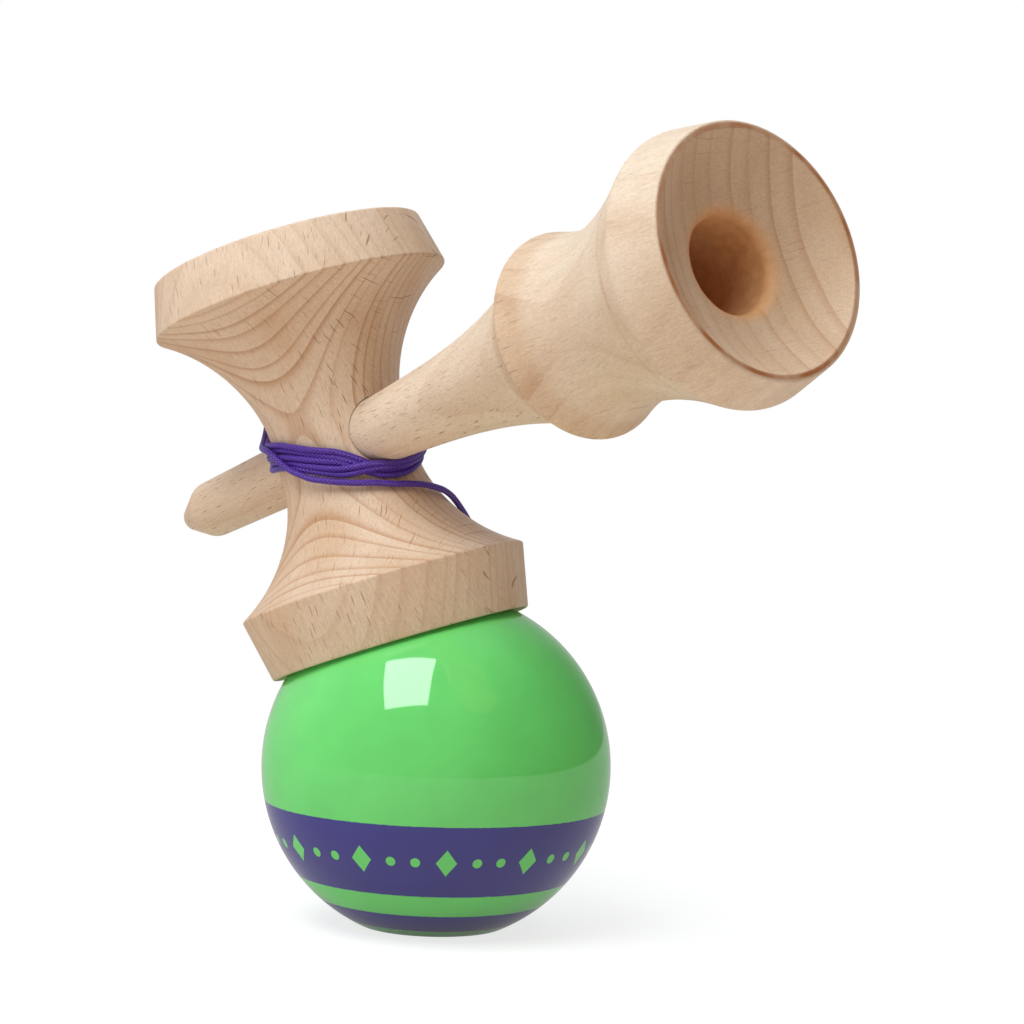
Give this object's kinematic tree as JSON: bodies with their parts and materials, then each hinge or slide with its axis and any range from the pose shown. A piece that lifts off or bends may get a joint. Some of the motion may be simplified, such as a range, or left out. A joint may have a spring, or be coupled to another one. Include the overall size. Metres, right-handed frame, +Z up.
{
  "type": "kendama",
  "caption": "Wooden cup-and-ball toy: a spiked handle through a waisted cup piece, resting on a holed, banded ball tied to it by a wound string.",
  "frame": {"origin": "centre of the ball, on the axis of its main hole", "axes": "+Z up along the ball's hole axis, away from the hole's mouth; +X to the right; +Y to the back"},
  "size_m": [0.1139, 0.1335, 0.1318],
  "materials": {
    "ball_paint": "gloss lacquer over wood",
    "bead_wood": "bare turned wood",
    "cup_wood": "fine sanded bare wood",
    "handle_wood": "fine sanded bare wood",
    "string": "braided"
  },
  "bodies": {
    "tama": {"tama": "ball_paint"},
    "bead": {"bead": "bead_wood", "tama_knot": "string", "tama_string": "string"},
    "sarado": {"sarado": "cup_wood", "string_anchor": "string", "string_winding": "string", "string_lead": "string"},
    "ken": {"ken": "handle_wood", "ken_knot": "string"}
  },
  "joints": [
    {"name": "ball_swivel", "type": "hinge", "parent": "tama", "child": "bead", "pos_m": [0, 0, 0], "axis": [0, 0, 1], "continuous": true},
    {"name": "cup_lift", "type": "slide", "parent": "bead", "child": "sarado", "axis": [-0.3162, 0.107, 0.9426], "range_m": [0, 0.012], "deforming": ["string_lead"]},
    {"name": "handle_pull", "type": "slide", "parent": "sarado", "child": "ken", "axis": [0.5934, -0.7499, 0.2923], "range_m": [0, 0.066]}
  ]
}
